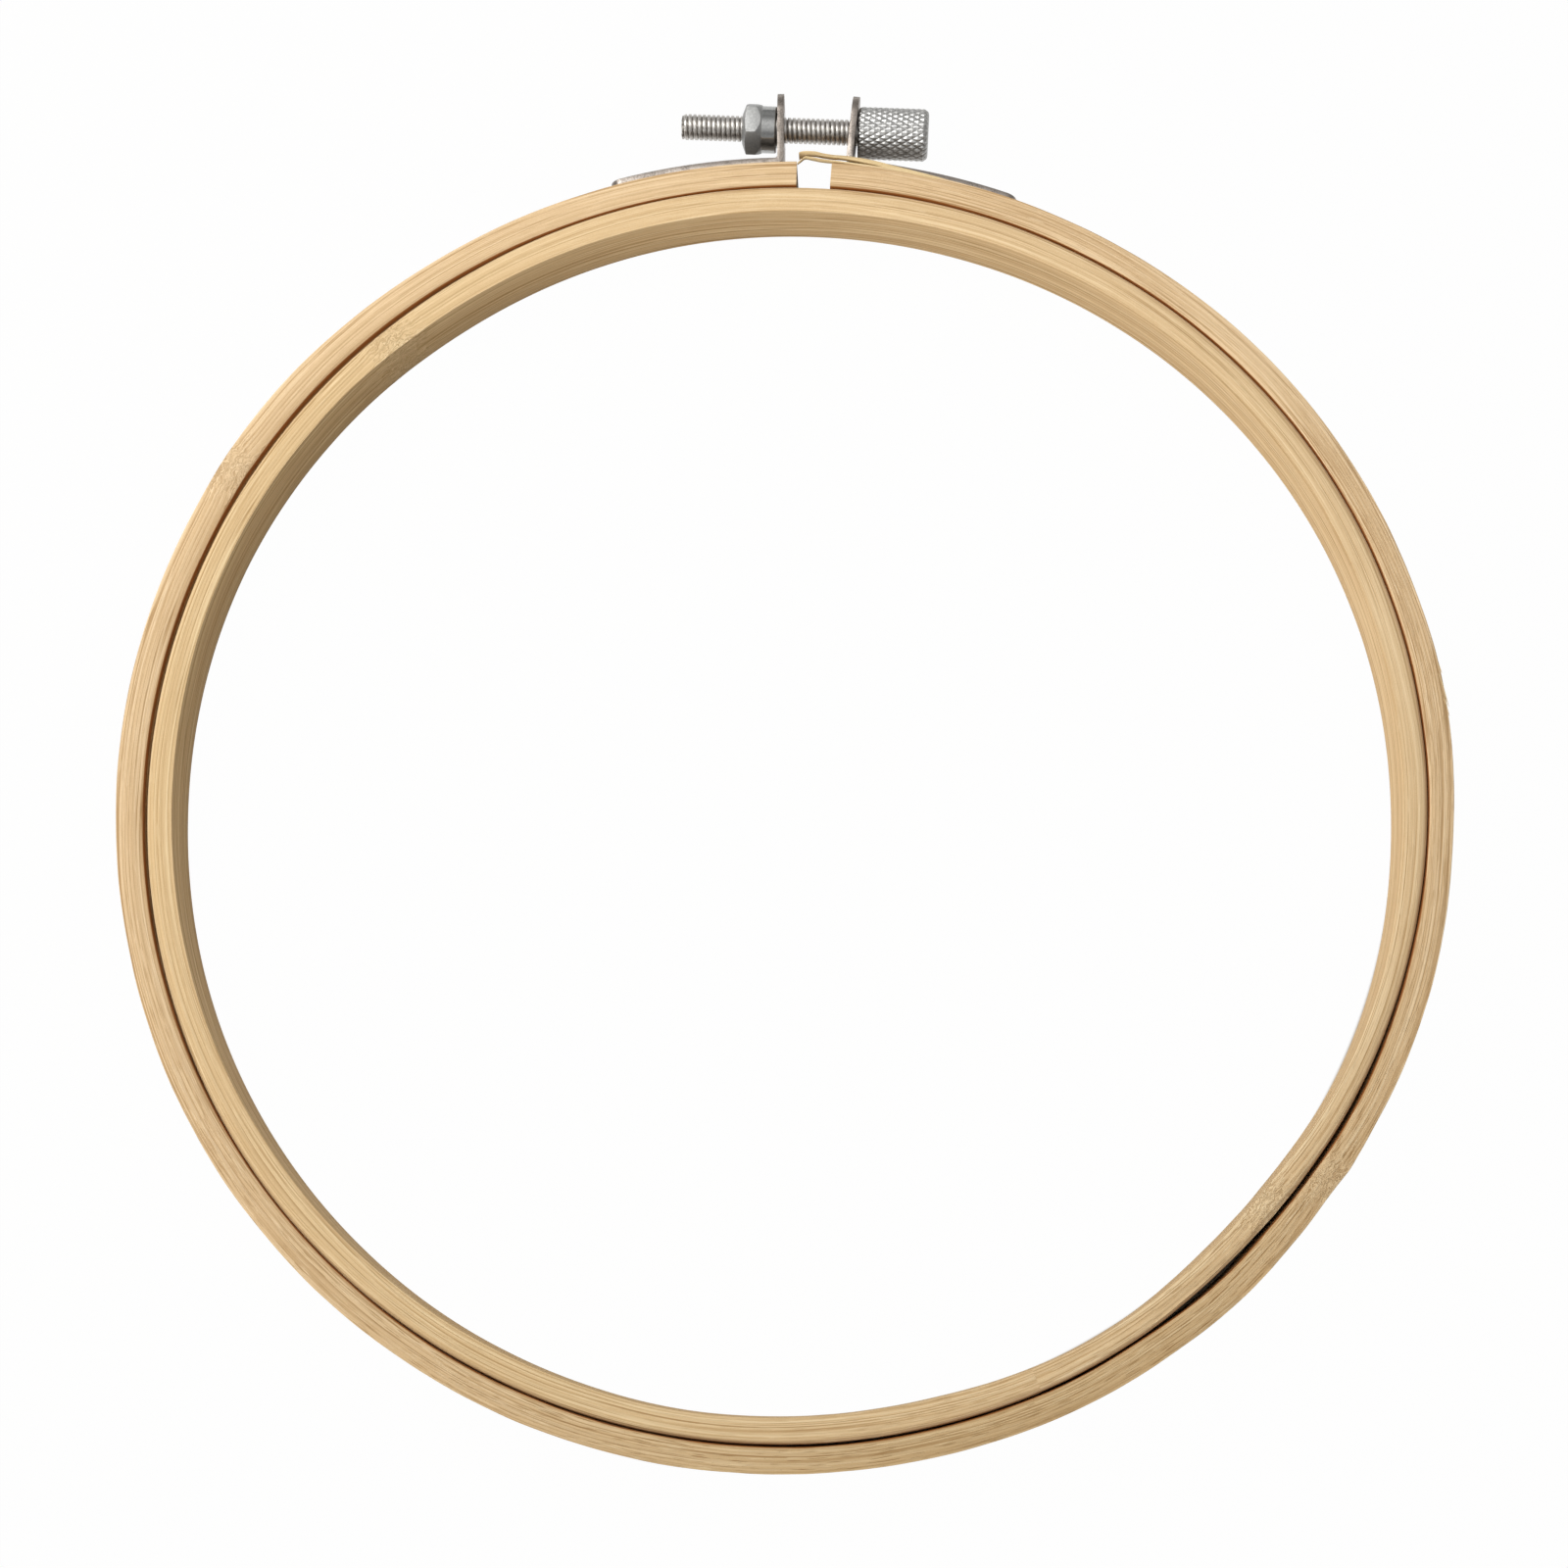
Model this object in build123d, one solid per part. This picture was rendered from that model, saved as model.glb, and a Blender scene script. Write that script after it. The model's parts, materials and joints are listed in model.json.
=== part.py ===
from build123d import *
from math import asin, cos, pi, sin, sqrt, tan
import os

# An embroidery hoop: a closed inner ring inside a split outer ring, both of bent
# bamboo strip. Two bent steel brackets are riveted to the ends of the outer ring, and
# a knurled screw draws their ears together against a collar nut.
# Millimetres. Z is the axis of the rings with their mid-height at Z = 0, the split
# faces +Y, and the screw lies along X. Angles run from +Y towards +X, in radians.

# Bamboo strips
outer_ring_diameter = 185.0
outer_ring_wall = 3.6
inner_ring_wall = 3.6
strip_height = 9.2
ring_clearance = 0.25
outer_ring_outside_edge = 0.5
outer_ring_seam_edge = 1.0
inner_ring_seam_edge = 0.3
inner_ring_inside_edge = 1.2

# Split of the outer ring, with the strip of skin that has torn off the top of its right end
split_width = 5.1
skin_height = 2.8
skin_thickness = 0.6
skin_crack = 0.12
skin_lift_length = 12.3
skin_tip_gap = 0.35
skin_tip_bevel = 0.5
skin_edge = 0.2

# Brackets of sheet steel
sheet_thickness = 0.95
strip_width = 7.5
bend_radius = 0.4
ear_setback = 2.4
ear_height = 12.4
ear_corner_radius = 3.7
foot_length = 24.8
foot_corner_radius = 1.5
foot_seat_gap = 0.03
screw_axis_height = 6.9

# Rivets
shank_diameter = 1.8
shank_clearance = 0.05
head_diameter = 3.4
head_height = 0.7
tail_diameter = 2.6
tail_thickness = 0.45
tail_recess_depth = 0.65
tail_recess_clearance = 0.15
rivet_end_distance = 3.6
rivet_spacing = 6.5
rivet_seat_gap = 0.02

# Threaded rod
thread_diameter = 3.9
thread_pitch = 0.7
thread_depth = 0.43
crest_share = 1 / 8
root_share = 1 / 4
rod_projection = 8.95
rod_seat_depth = 6.0
thread_clearance = 0.1
right_ear_clearance = 0.25

# Collar nut
nut_width_flats = 7.0
hex_length = 2.9
hex_face_diameter = 4.5
hex_face_cone_length = 0.67
hex_collar_cone_length = 0.9
collar_diameter = 6.8
collar_length = 2.1
collar_seat_gap = 0.03
collar_edge = 0.15
spigot_diameter = 5.2
spigot_clearance = 0.02

# Knurled knob
knob_diameter = 7.6
knob_length = 10.3
knob_end_radius = 0.9
knob_inner_chamfer = 0.3
knob_running_gap = 0.05
knob_bore_clearance = 0.02
knob_bore_depth = 6.3

cut_overrun = 2.0

# What the sizes above give
outer_radius = outer_ring_diameter / 2
seam_radius = outer_radius - outer_ring_wall
inner_ring_outer_radius = seam_radius - ring_clearance
inner_ring_bore = inner_ring_outer_radius - inner_ring_wall
split_angle = asin(split_width / 2 / outer_radius)
ear_angle = split_angle + ear_setback / outer_radius
lift_angle = split_angle + skin_lift_length / outer_radius
foot_end_angle = ear_angle + foot_length / outer_radius
first_rivet_angle = foot_end_angle - rivet_end_distance / outer_radius
rivet_angles = [first_rivet_angle, first_rivet_angle - rivet_spacing / outer_radius]
foot_bottom = outer_radius + foot_seat_gap
foot_top = foot_bottom + sheet_thickness
screw_height = outer_radius + screw_axis_height
thread_radius = thread_diameter / 2
nut_bore_radius = thread_radius + thread_clearance
knob_radius = knob_diameter / 2

# Places along the screw
ear_middle_x = screw_height * tan(ear_angle)
ear_face_x = ear_middle_x + sheet_thickness / 2 / cos(ear_angle)
collar_face_x = -ear_face_x - collar_diameter / 2 * tan(ear_angle) - collar_seat_gap
collar_end_x = collar_face_x - collar_length
nut_end_x = collar_end_x - hex_length
rod_end_x = nut_end_x - rod_projection
knob_face_x = ear_face_x + knob_radius * tan(ear_angle) + knob_running_gap
knob_end_x = knob_face_x + knob_length
rod_seat_x = knob_face_x + rod_seat_depth


def outward(angle):
    """The direction away from the axis of the rings at an angle."""
    return Vector(sin(angle), cos(angle))


def along(angle):
    """The direction round the rings at an angle, towards larger angles."""
    return Vector(cos(angle), -sin(angle))


def point(radius, angle):
    """The point of the XY plane at a radius and an angle."""
    return outward(angle) * radius


def arc(radius, start, end):
    """An arc about the axis of the rings between two angles."""
    middle = (start + end) / 2
    return ThreePointArc(point(radius, start), point(radius, middle), point(radius, end))


def bend(centre, radius, first, last):
    """An arc about a centre between two unit directions, the short way round."""
    middle = (first + last).normalized()
    return ThreePointArc(centre + first * radius, centre + middle * radius, centre + last * radius)


def prism(outline, height):
    """A closed outline of the XY plane made solid, half above the plane and half below."""
    return extrude(make_face(outline), amount=height / 2, both=True)


def radial_cylinder(radius, start, end, angle):
    """A cylinder that points away from the axis of the rings, between two radii."""
    seat = Plane(origin=point(start, angle), z_dir=outward(angle))
    return seat * Cylinder(radius, end - start, align=(Align.CENTER, Align.CENTER, Align.MIN))


def screw_cylinder(radius, start, end):
    """A cylinder on the axis of the screw, between two places along X."""
    seat = Plane(origin=(start, screw_height), z_dir=(1, 0))
    return seat * Cylinder(radius, end - start, align=(Align.CENTER, Align.CENTER, Align.MIN))


def turned(profile):
    """Points as (place along X, radius), turned about the axis of the screw."""
    corners = [(x, screw_height + radius) for x, radius in profile]
    screw_axis = Axis((0, screw_height), (1, 0))
    return revolve(make_face(Polyline(*corners, close=True)), screw_axis)


def ring(inner, outer, inside_edge, outside_edge):
    """A closed ring of strip with rounded long edges."""
    section = Rectangle(outer - inner, strip_height, align=(Align.MIN, Align.CENTER))
    section = fillet(section.vertices().group_by(Axis.X)[0], inside_edge)
    section = fillet(section.vertices().group_by(Axis.X)[-1], outside_edge)
    return revolve(Plane.XZ * Pos(inner) * section, Axis.Z)


def inner_ring():
    """The closed ring that the fabric is laid over."""
    return ring(inner_ring_bore, inner_ring_outer_radius, inner_ring_inside_edge, inner_ring_seam_edge)


def lifted_skin():
    """A strip of skin, peeled straight off the top of the right end and reaching over the split."""
    root, tip_direction = outward(lift_angle), -along(lift_angle)
    tip_x = skin_tip_gap - split_width / 2
    reach = (point(outer_radius, lift_angle).X - tip_x) / cos(lift_angle)
    top_root = root * outer_radius
    bottom_root = root * (outer_radius - skin_thickness)
    tip_top = top_root + tip_direction * reach
    tip_bottom = bottom_root + tip_direction * (reach - skin_tip_bevel)
    height = skin_height - skin_crack
    side = Polyline(top_root, tip_top, tip_bottom, bottom_root, close=True)
    skin = Pos(0, 0, (strip_height - height) / 2) * prism(side, height)
    long_edges = skin.edges().filter_by(Axis((0, 0), tip_direction))
    return fillet(long_edges.group_by(Axis((0, 0), root))[-1], skin_edge)


def peeled_layer():
    """What the lifted skin leaves empty at the right end, from the split to where it lifts."""
    floor = outer_radius - skin_thickness - skin_crack
    clear = outer_radius + cut_overrun
    outline = [
        Line(point(floor, 0), point(clear, 0)),
        arc(clear, 0, lift_angle),
        Line(point(clear, lift_angle), point(floor, lift_angle)),
        arc(floor, lift_angle, 0),
    ]
    rise = (strip_height + cut_overrun - skin_height) / 2
    return Pos(0, 0, rise) * prism(outline, skin_height + cut_overrun)


def rivet_holes(side):
    """The holes through one end of the outer ring, with recesses for the rivets' tails."""
    shank = shank_diameter / 2 + shank_clearance
    recess = tail_diameter / 2 + tail_recess_clearance
    start = seam_radius - cut_overrun
    recess_end = seam_radius + tail_recess_depth
    holes = [radial_cylinder(shank, start, outer_radius + cut_overrun, side * a) for a in rivet_angles]
    recesses = [radial_cylinder(recess, start, recess_end, side * a) for a in rivet_angles]
    return holes + recesses


def outer_ring():
    """The split ring, with its lifted skin and rivet holes."""
    depth = outer_ring_wall + cut_overrun
    slot = Pos(0, outer_radius - outer_ring_wall / 2) * Box(split_width, depth, strip_height + cut_overrun)
    body = ring(seam_radius, outer_radius, outer_ring_seam_edge, outer_ring_outside_edge)
    body = body - slot - peeled_layer() + lifted_skin()
    return body - rivet_holes(-1) - rivet_holes(1)


def bracket_outline(straight_until):
    """The bent sheet of the right bracket, seen along Z.

    The foot is straight from the bend to the angle given, and then follows the ring.
    With no angle it follows the ring all the way."""
    up, across = outward(ear_angle), along(ear_angle)
    offset = sheet_thickness / 2 + bend_radius
    outside_bend = bend_radius + sheet_thickness
    if straight_until is None:
        centre = across * offset + up * sqrt((foot_bottom + outside_bend) ** 2 - offset**2)
        foot_normal = centre.normalized()
        straight_until = ear_angle + asin(offset / (foot_bottom + outside_bend))
        straight = []
    else:
        foot_normal = outward(straight_until)
        rise = foot_bottom + outside_bend - offset * across.dot(foot_normal)
        centre = across * offset + up * (rise / up.dot(foot_normal))
        straight = [
            Line(centre - foot_normal * outside_bend, foot_normal * foot_bottom),
            Line(foot_normal * foot_top, centre - foot_normal * bend_radius),
        ]
    ear_top = outer_radius + ear_height
    half = across * (sheet_thickness / 2)
    inner_face = centre - across * outside_bend
    outer_face = centre - across * bend_radius
    return straight + [
        Line(up * ear_top - half, inner_face),
        bend(centre, outside_bend, -across, -foot_normal),
        arc(foot_bottom, straight_until, foot_end_angle),
        Line(point(foot_bottom, foot_end_angle), point(foot_top, foot_end_angle)),
        arc(foot_top, foot_end_angle, straight_until),
        bend(centre, bend_radius, -foot_normal, -across),
        Line(outer_face, up * ear_top + half),
        Line(up * ear_top + half, up * ear_top - half),
    ]


def rounded_ends(sheet):
    """Rounds the four corners of a bent strip: two on the ear and two on the foot."""
    side = Vector(0, 0, strip_width / 2)
    ear_end = point(outer_radius + ear_height, ear_angle)
    foot_end = point((foot_bottom + foot_top) / 2, foot_end_angle)
    for end, radius in ((ear_end, ear_corner_radius), (foot_end, foot_corner_radius)):
        corners = [sheet.edges().sort_by_distance(end + side * way)[0] for way in (-1, 1)]
        sheet = fillet(corners, radius)
    return sheet


def bracket(straight_until, ear_hole_radius):
    """A bracket for the right end, with its rivet holes and the hole in its ear."""
    sheet = rounded_ends(prism(bracket_outline(straight_until), strip_width))
    shank = shank_diameter / 2 + shank_clearance
    start = foot_bottom - cut_overrun
    holes = [radial_cylinder(shank, start, foot_top + cut_overrun, a) for a in rivet_angles]
    ear_reach = sheet_thickness + cut_overrun
    ear_hole = screw_cylinder(ear_hole_radius, ear_middle_x - ear_reach, ear_middle_x + ear_reach)
    return sheet - holes - ear_hole


def left_bracket():
    """The bracket whose ear holds the nut. It lies flat on the ring."""
    return mirror(bracket(None, spigot_diameter / 2 + spigot_clearance), about=Plane.YZ)


def right_bracket():
    """The bracket whose ear the knob bears on. Its foot lies on the lifted skin."""
    return bracket(lift_angle, thread_radius + right_ear_clearance)


def rivet(angle):
    """A rivet with a domed head on the foot and a flat tail inside the strip."""
    head_seat = foot_top + rivet_seat_gap
    tail_top = seam_radius + tail_recess_depth - rivet_seat_gap
    tail_bottom = tail_top - tail_thickness
    head = head_diameter / 2
    outline = [
        Line((0, tail_bottom), (tail_diameter / 2, tail_bottom)),
        Line((tail_diameter / 2, tail_bottom), (tail_diameter / 2, tail_top)),
        Line((tail_diameter / 2, tail_top), (shank_diameter / 2, tail_top)),
        Line((shank_diameter / 2, tail_top), (shank_diameter / 2, head_seat)),
        Line((shank_diameter / 2, head_seat), (head, head_seat)),
        SagittaArc((0, head_seat + head_height), (head, head_seat), dome_sagitta()),
        Line((0, head_seat + head_height), (0, tail_bottom)),
    ]
    blank = revolve(make_face(outline), Axis.Y)
    return blank.rotate(Axis.Z, -angle * 180 / pi)


def dome_sagitta():
    """How far the half arc of the dome stands off its own chord."""
    half_width = head_diameter / 2
    dome_radius = (half_width**2 + head_height**2) / (2 * head_height)
    half_chord = sqrt(half_width**2 + head_height**2) / 2
    return dome_radius - sqrt(dome_radius**2 - half_chord**2)


def rivets(side):
    """The two rivets of one bracket, on the right for a side of 1 and on the left for -1."""
    return Compound([rivet(side * angle) for angle in rivet_angles])


def left_rivets():
    """The two rivets that hold the left bracket."""
    return rivets(-1)


def right_rivets():
    """The two rivets that hold the right bracket."""
    return rivets(1)


def hexagon():
    """The nut's hexagon, with a flat up and a flat down and both ends turned to a cone."""
    seat = Plane(origin=(nut_end_x, screw_height), x_dir=(0, 1), z_dir=(1, 0))
    flats = RegularPolygon(nut_width_flats / 2, 6, major_radius=False)
    corner = nut_width_flats / 2 / cos(pi / 6)
    envelope = [
        (nut_end_x, 0),
        (nut_end_x, hex_face_diameter / 2),
        (nut_end_x + hex_face_cone_length, corner),
        (collar_end_x - hex_collar_cone_length, corner),
        (collar_end_x, collar_diameter / 2),
        (collar_end_x, 0),
    ]
    return extrude(seat * flats, hex_length) & turned(envelope)


def collar_nut():
    """The nut: a hexagon, a round collar that meets the left ear and a spigot clinched in the ear."""
    collar = [
        (collar_end_x, 0),
        (collar_end_x, collar_diameter / 2),
        (collar_face_x - collar_edge, collar_diameter / 2),
        (collar_face_x, collar_diameter / 2 - collar_edge),
        (collar_face_x, 0),
    ]
    ear_inner_face = Plane(
        origin=(-ear_middle_x, screw_height),
        z_dir=(-cos(ear_angle), -sin(ear_angle)),
    ).offset(-sheet_thickness / 2)
    spigot = screw_cylinder(spigot_diameter / 2, collar_end_x, 0)
    spigot = split(spigot, bisect_by=ear_inner_face, keep=Keep.TOP)
    bore = screw_cylinder(nut_bore_radius, nut_end_x - cut_overrun, cut_overrun)
    return hexagon() + turned(collar) + spigot - bore


def threaded_rod():
    """The rod, whose thread is a row of ring grooves up to the face of the knob."""
    root_radius = thread_radius - thread_depth
    flank = thread_pitch * (1 - crest_share - root_share) / 2
    profile = [(rod_end_x, 0)]
    for turn in range(int((knob_face_x - rod_end_x) / thread_pitch)):
        start = rod_end_x + turn * thread_pitch
        crest_end = start + thread_pitch * crest_share
        root_end = crest_end + flank + thread_pitch * root_share
        profile += [
            (start, thread_radius),
            (crest_end, thread_radius),
            (crest_end + flank, root_radius),
            (root_end, root_radius),
        ]
    profile += [(root_end + flank, thread_radius), (rod_seat_x, thread_radius), (rod_seat_x, 0)]
    return turned(profile)


def knurled_knob():
    """The knob, turned as a plain barrel with a blind bore that the rod is fixed in."""
    profile = [
        (knob_face_x, 0),
        (knob_face_x, knob_radius - knob_inner_chamfer),
        (knob_face_x + knob_inner_chamfer, knob_radius),
        (knob_end_x, knob_radius),
        (knob_end_x, 0),
    ]
    barrel = turned(profile)
    barrel = fillet(barrel.edges().group_by(Axis.X)[-1], knob_end_radius)
    bore_radius = thread_radius + knob_bore_clearance
    bore = screw_cylinder(bore_radius, knob_face_x - cut_overrun, knob_face_x + knob_bore_depth)
    return barrel - bore


pieces = {
    "inner_ring": inner_ring,
    "outer_ring": outer_ring,
    "left_bracket": left_bracket,
    "right_bracket": right_bracket,
    "left_rivets": left_rivets,
    "right_rivets": right_rivets,
    "collar_nut": collar_nut,
    "threaded_rod": threaded_rod,
    "knurled_knob": knurled_knob,
}

os.makedirs("parts", exist_ok=True)
for node, make in pieces.items():
    export_step(make(), f"parts/{node}.step")
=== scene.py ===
import json
from math import cos, pi, radians, sin

import bmesh
import bpy
from mathutils import Euler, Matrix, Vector


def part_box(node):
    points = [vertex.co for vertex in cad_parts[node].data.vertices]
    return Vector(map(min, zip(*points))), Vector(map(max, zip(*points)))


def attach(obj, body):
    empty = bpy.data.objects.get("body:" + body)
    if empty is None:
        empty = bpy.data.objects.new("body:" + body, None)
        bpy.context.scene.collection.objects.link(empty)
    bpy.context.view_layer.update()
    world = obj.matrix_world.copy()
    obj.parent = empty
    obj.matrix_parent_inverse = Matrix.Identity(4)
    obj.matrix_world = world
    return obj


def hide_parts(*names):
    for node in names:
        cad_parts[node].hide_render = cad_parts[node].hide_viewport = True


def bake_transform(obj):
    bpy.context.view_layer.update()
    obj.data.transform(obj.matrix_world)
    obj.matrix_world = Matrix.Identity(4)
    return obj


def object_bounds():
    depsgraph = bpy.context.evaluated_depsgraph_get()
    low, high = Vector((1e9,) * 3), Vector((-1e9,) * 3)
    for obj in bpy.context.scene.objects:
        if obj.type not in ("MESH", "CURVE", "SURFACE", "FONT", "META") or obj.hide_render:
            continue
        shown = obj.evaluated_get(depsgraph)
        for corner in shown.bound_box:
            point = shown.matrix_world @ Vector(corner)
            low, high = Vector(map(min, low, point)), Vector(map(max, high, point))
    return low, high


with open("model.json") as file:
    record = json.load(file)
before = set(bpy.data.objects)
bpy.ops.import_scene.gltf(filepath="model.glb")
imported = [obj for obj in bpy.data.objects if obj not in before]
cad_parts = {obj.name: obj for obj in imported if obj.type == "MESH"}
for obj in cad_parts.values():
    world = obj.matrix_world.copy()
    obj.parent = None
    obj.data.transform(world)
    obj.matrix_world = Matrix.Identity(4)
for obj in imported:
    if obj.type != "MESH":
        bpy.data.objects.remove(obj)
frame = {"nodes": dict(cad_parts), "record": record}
cad_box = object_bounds()
nodes = frame["nodes"]
scene = bpy.context.scene
mm = 0.001

# The photographer's view, from over the lower half of the hoop, with the camera turned
# a little so that the screw runs down to the right. Fitted to the outlines of both rings.
camera_place = Vector((16.27, -77.20, 366.88)) * mm
camera_turn = Euler((radians(12.127), radians(1.818), radians(3.093)))
camera_lens = 61.65

camera = bpy.data.objects.new("camera", bpy.data.cameras.new("camera"))
camera.location = camera_place
camera.rotation_euler = camera_turn
camera.data.lens = camera_lens
camera.data.sensor_width = 36
camera.data.clip_start = 5 * mm
scene.collection.objects.link(camera)
scene.camera = camera
scene.view_settings.view_transform = "Standard"


# The inner ring: a strip of bamboo bent round and closed with a glued lap joint. Its edges
# are sanded round, and it wanders a little from a true circle, most of all at its nodes.
class Wire:
    """A socket of a node tree. Arithmetic on it adds Math nodes; node() adds any other."""

    def __init__(self, tree, socket=None):
        self.tree = tree
        self.socket = socket

    def node(self, kind, settings=None, sockets=None):
        """Adds a node, sets it up, fills its sockets and gives its first output."""
        made = self.tree.nodes.new(kind)
        for name, value in (settings or {}).items():
            if name == "stops":
                ramp = made.color_ramp
                for place, colour in value:
                    ramp.elements.new(place).color = colour
                ramp.elements.remove(ramp.elements[0])
                ramp.elements.remove(ramp.elements[-1])
            else:
                setattr(made, name, value)
        for name, value in (sockets or {}).items():
            if isinstance(value, Wire):
                self.tree.links.new(value.socket, made.inputs[name])
            else:
                made.inputs[name].default_value = value
        return Wire(self.tree, made.outputs[0] if len(made.outputs) else None)

    def out(self, name):
        """Another output of the same node."""
        return Wire(self.tree, self.socket.node.outputs[name])

    def maths(self, operation, *values):
        return self.node("ShaderNodeMath", {"operation": operation}, dict(enumerate(values)))

    def __add__(self, other):
        return self.maths("ADD", self, other)

    def __sub__(self, other):
        return self.maths("SUBTRACT", self, other)

    def __rsub__(self, other):
        return self.maths("SUBTRACT", other, self)

    def __mul__(self, other):
        return self.maths("MULTIPLY", self, other)

    def __truediv__(self, other):
        return self.maths("DIVIDE", self, other)

    __radd__ = __add__
    __rmul__ = __mul__


def colour(red, green, blue):
    """A colour given as on a screen, 0 to 255, as the linear colour that nodes take."""
    shares = [value / 255 for value in (red, green, blue)]
    return (*(s / 12.92 if s < 0.04045 else ((s + 0.055) / 1.055) ** 2.4 for s in shares), 1)


def new_material(name):
    """An empty material, and the Wire that its nodes are added with."""
    material = bpy.data.materials.new(name)
    material.use_nodes = True
    material.node_tree.nodes.clear()
    return material, Wire(material.node_tree)


def finish_material(w, **sockets):
    """Ends a material in one Principled shader."""
    labels = [name.replace("_", " ").title().replace("Ior", "IOR") for name in sockets]
    shader = w.node("ShaderNodeBsdfPrincipled", {}, dict(zip(labels, sockets.values())))
    w.node("ShaderNodeOutputMaterial", {}, {"Surface": shader})


def parts(w, vector):
    """The X, Y and Z of a vector, as three Wires."""
    split = w.node("ShaderNodeSeparateXYZ", {}, {0: vector})
    return split.out("X"), split.out("Y"), split.out("Z")


def vectors(w, operation, first, second):
    """Adds, subtracts or multiplies two vectors, number by number."""
    return w.node("ShaderNodeVectorMath", {"operation": operation}, {0: first, 1: second})


def attribute(w, name, output="Fac"):
    """What the mesh carries under a name."""
    return w.node("ShaderNodeAttribute", {"attribute_name": name}).out(output)


def noise(w, place, scale, detail=2.0):
    """Noise from 0 to 1, with about one lump in each 1 / scale of the place's units."""
    return w.node("ShaderNodeTexNoise", {}, {"Vector": place, "Scale": scale, "Detail": detail})


def grain(w, place, along, across, detail=2.0):
    """Noise drawn out along the fibres, with lumps that long and that thick, in metres."""
    fibres = vectors(w, "MULTIPLY", place, (1 / along, 1 / across, 1 / across))
    return noise(w, fibres, 1.0, detail)


def between(w, value, low, high, to_low=0.0, to_high=1.0):
    """Maps low to high onto another range, smoothly and without going past it."""
    ends = {"From Min": low, "From Max": high, "To Min": to_low, "To Max": to_high}
    settings = {"interpolation_type": "SMOOTHSTEP"}
    return w.node("ShaderNodeMapRange", settings, {"Value": value, **ends})


def veins(w, value, width):
    """Thin lines along the grain, where a stretched noise passes through its middle."""
    return between(w, w.maths("ABSOLUTE", value - 0.5), width, 0.0)


def ramp(w, value, *stops):
    """The colour for a value, between stops that are each a value and its colour."""
    return w.node("ShaderNodeValToRGB", {"stops": stops}, {"Fac": value})


def mixed(w, factor, first, second, blend="MIX"):
    """Blends one colour into another."""
    settings = {"data_type": "RGBA", "blend_type": blend}
    return w.node("ShaderNodeMix", settings, {0: factor, 6: first, 7: second}).out(2)


def bumped(w, height, strength, depth):
    """A normal that follows a height, as on a relief that deep."""
    sockets = {"Height": height, "Strength": strength, "Distance": depth}
    return w.node("ShaderNodeBump", {}, sockets)


# What shows in the wood: a tint that paints shade on the stretches that the light leaves darker,
# the dots of its sawn ends, a warm brown that paints the shade inside the seam along the top of the
# wall facing the other ring, how the fibres wander, and how deep the grain is.
# The greyish tint that paints shade on the deep stretches.
shade_tint = colour(234, 232, 222)
end_grain = colour(52, 38, 24)
end_grain_scale = 1500
# Painted shade in the seam: its warm brown, and the heights where it starts, is full and fades out.
seam_shade_colour = colour(148, 84, 26)
seam_shade_from, seam_shade_full = 2.6 * mm, 3.8 * mm
seam_shade_until, seam_shade_gone = 4.50 * mm, 4.60 * mm
wander_length, wander_reach = 60 * mm, 0.9 * mm
crumple_scale = 900.0
crumple_reach = 1.8 * mm
speck_scale = 5200.0
grain_relief = 0.11 * mm


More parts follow.
